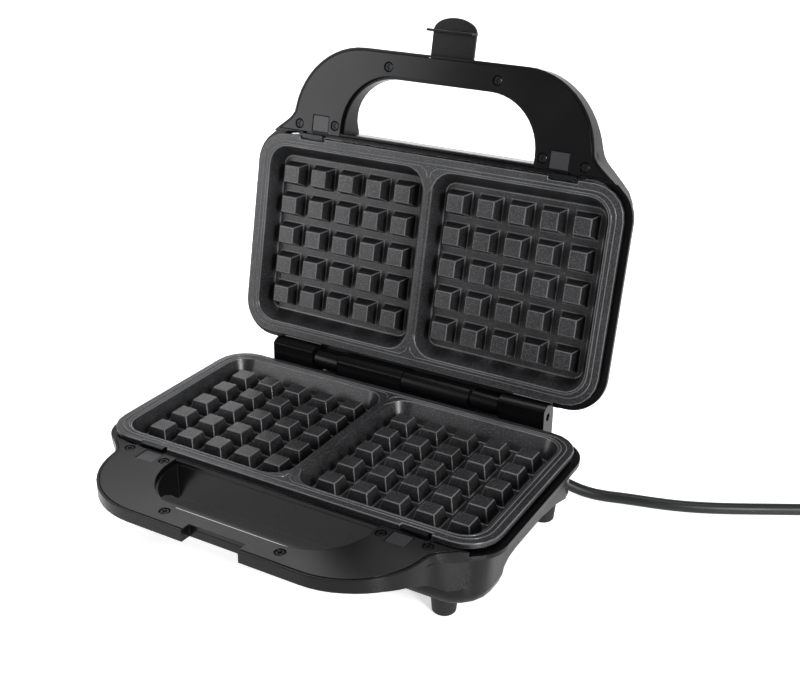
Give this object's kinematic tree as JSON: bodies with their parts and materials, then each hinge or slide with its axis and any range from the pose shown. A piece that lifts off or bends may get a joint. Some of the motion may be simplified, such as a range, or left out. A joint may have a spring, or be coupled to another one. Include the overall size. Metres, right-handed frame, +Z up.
{
  "type": "waffle maker",
  "caption": "Waffle maker standing open, with lift-out non-stick waffle plates, a handle with a D-shaped opening on base and lid, a front latch and a mains cord.",
  "frame": {"origin": "on the table, under the middle of the open appliance without its cord", "axes": "+X to the right seen from the handle, +Y from the handle to the hinge, +Z up"},
  "size_m": [0.4222, 0.4343, 0.2545],
  "materials": {
    "black_phenolic": "satin",
    "satin_phenolic": "satin",
    "nonstick_cast_aluminium": "non-stick coated",
    "reflector_aluminium": "brushed",
    "element_steel": "oxidised",
    "bright_steel": "zinc plated",
    "blackened_steel": "blackened",
    "nickelled_brass": "nickel plated",
    "foot_rubber": "matte",
    "cord_pvc": "semi-matte",
    "ceramic": "unglazed",
    "red_lens": "tinted",
    "green_lens": "tinted"
  },
  "bodies": {
    "base": {"base_shell": "black_phenolic", "base_handle_cover": "satin_phenolic", "base_reflector": "reflector_aluminium", "base_heating_element": "element_steel", "thermostat": "bright_steel", "thermal_fuse": "bright_steel", "terminal_block": "ceramic", "foot_front_left": "foot_rubber", "foot_front_right": "foot_rubber", "foot_rear_left": "foot_rubber", "foot_rear_right": "foot_rubber", "hinge_pin_left": "bright_steel", "hinge_pin_right": "bright_steel", "cord_gland": "cord_pvc", "cord_lead": "cord_pvc", "cord_coil": "cord_pvc", "cord_tail": "cord_pvc", "cord_tie": "cord_pvc", "plug_body": "cord_pvc", "plug_pin_left": "nickelled_brass", "plug_pin_right": "nickelled_brass", "release_spring_base_left": "bright_steel", "cover_screw_base_left_1": "blackened_steel", "cover_screw_base_left_2": "blackened_steel", "cover_screw_base_left_3": "blackened_steel", "release_spring_base_right": "bright_steel", "cover_screw_base_right_1": "blackened_steel", "cover_screw_base_right_2": "blackened_steel", "cover_screw_base_right_3": "blackened_steel"},
    "lid": {"lid_shell": "black_phenolic", "lid_handle_cover": "satin_phenolic", "lid_reflector": "reflector_aluminium", "lid_heating_element": "element_steel", "power_lamp_lens": "red_lens", "ready_lamp_lens": "green_lens", "latch_pin": "bright_steel", "release_spring_lid_left": "bright_steel", "cover_screw_lid_left_1": "blackened_steel", "cover_screw_lid_left_2": "blackened_steel", "cover_screw_lid_left_3": "blackened_steel", "release_spring_lid_right": "bright_steel", "cover_screw_lid_right_1": "blackened_steel", "cover_screw_lid_right_2": "blackened_steel", "cover_screw_lid_right_3": "blackened_steel"},
    "latch": {"latch": "black_phenolic"},
    "lower_plate": {"lower_plate": "nonstick_cast_aluminium"},
    "upper_plate": {"upper_plate": "nonstick_cast_aluminium"},
    "release_button_base_left": {"release_button_base_left": "black_phenolic"},
    "plate_clip_base_left": {"plate_clip_base_left": "bright_steel"},
    "release_button_base_right": {"release_button_base_right": "black_phenolic"},
    "plate_clip_base_right": {"plate_clip_base_right": "bright_steel"},
    "release_button_lid_left": {"release_button_lid_left": "black_phenolic"},
    "plate_clip_lid_left": {"plate_clip_lid_left": "bright_steel"},
    "release_button_lid_right": {"release_button_lid_right": "black_phenolic"},
    "plate_clip_lid_right": {"plate_clip_lid_right": "bright_steel"}
  },
  "joints": [
    {"name": "lid_hinge", "type": "hinge", "parent": "base", "child": "lid", "pos_m": [0, 0.06508, 0.0545], "axis": [1, 0, 0], "range_deg": [0, 101.8]},
    {"name": "latch_hinge", "type": "hinge", "parent": "lid", "child": "latch", "pos_m": [0, 0.10699, 0.23065], "axis": [1, 0, 0], "range_deg": [0, 90]},
    {"name": "lower_plate_tilt", "type": "hinge", "parent": "base", "child": "lower_plate", "pos_m": [0, 0.05558, 0.0484], "axis": [1, 0, 0], "range_deg": [-15, 0]},
    {"name": "upper_plate_tilt", "type": "hinge", "parent": "lid", "child": "upper_plate", "pos_m": [0, 0.0681, 0.06357], "axis": [-1, 0, 0], "range_deg": [-15, 0]},
    {"name": "release_button_base_left_press", "type": "slide", "parent": "base", "child": "release_button_base_left", "axis": [0, 0, 1], "range_m": [-0.002, 0], "stiffness_N_per_m": 400, "springref_m": 0.003, "deforming": ["release_spring_base_left"]},
    {"name": "plate_clip_base_left_slide", "type": "slide", "parent": "base", "child": "plate_clip_base_left", "axis": [0, 1, 0], "range_m": [-0.001, 0]},
    {"name": "release_button_lid_left_press", "type": "slide", "parent": "lid", "child": "release_button_lid_left", "axis": [0, -0.9789, 0.2045], "range_m": [-0.002, 0], "stiffness_N_per_m": 400, "springref_m": 0.003, "deforming": ["release_spring_lid_left"]},
    {"name": "plate_clip_lid_left_slide", "type": "slide", "parent": "lid", "child": "plate_clip_lid_left", "axis": [0, -0.2045, -0.9789], "range_m": [-0.001, 0]},
    {"name": "release_button_base_right_press", "type": "slide", "parent": "base", "child": "release_button_base_right", "axis": [0, 0, 1], "range_m": [-0.002, 0], "stiffness_N_per_m": 400, "springref_m": 0.003, "deforming": ["release_spring_base_right"]},
    {"name": "plate_clip_base_right_slide", "type": "slide", "parent": "base", "child": "plate_clip_base_right", "axis": [0, 1, 0], "range_m": [-0.001, 0]},
    {"name": "release_button_lid_right_press", "type": "slide", "parent": "lid", "child": "release_button_lid_right", "axis": [0, -0.9789, 0.2045], "range_m": [-0.002, 0], "stiffness_N_per_m": 400, "springref_m": 0.003, "deforming": ["release_spring_lid_right"]},
    {"name": "plate_clip_lid_right_slide", "type": "slide", "parent": "lid", "child": "plate_clip_lid_right", "axis": [0, -0.2045, -0.9789], "range_m": [-0.001, 0]}
  ],
  "couplings": [
    {"joint": "plate_clip_base_left_slide", "follows": "release_button_base_left_press", "ratio": 0.5},
    {"joint": "plate_clip_base_right_slide", "follows": "release_button_base_right_press", "ratio": 0.5},
    {"joint": "plate_clip_lid_left_slide", "follows": "release_button_lid_left_press", "ratio": 0.5},
    {"joint": "plate_clip_lid_right_slide", "follows": "release_button_lid_right_press", "ratio": 0.5}
  ]
}
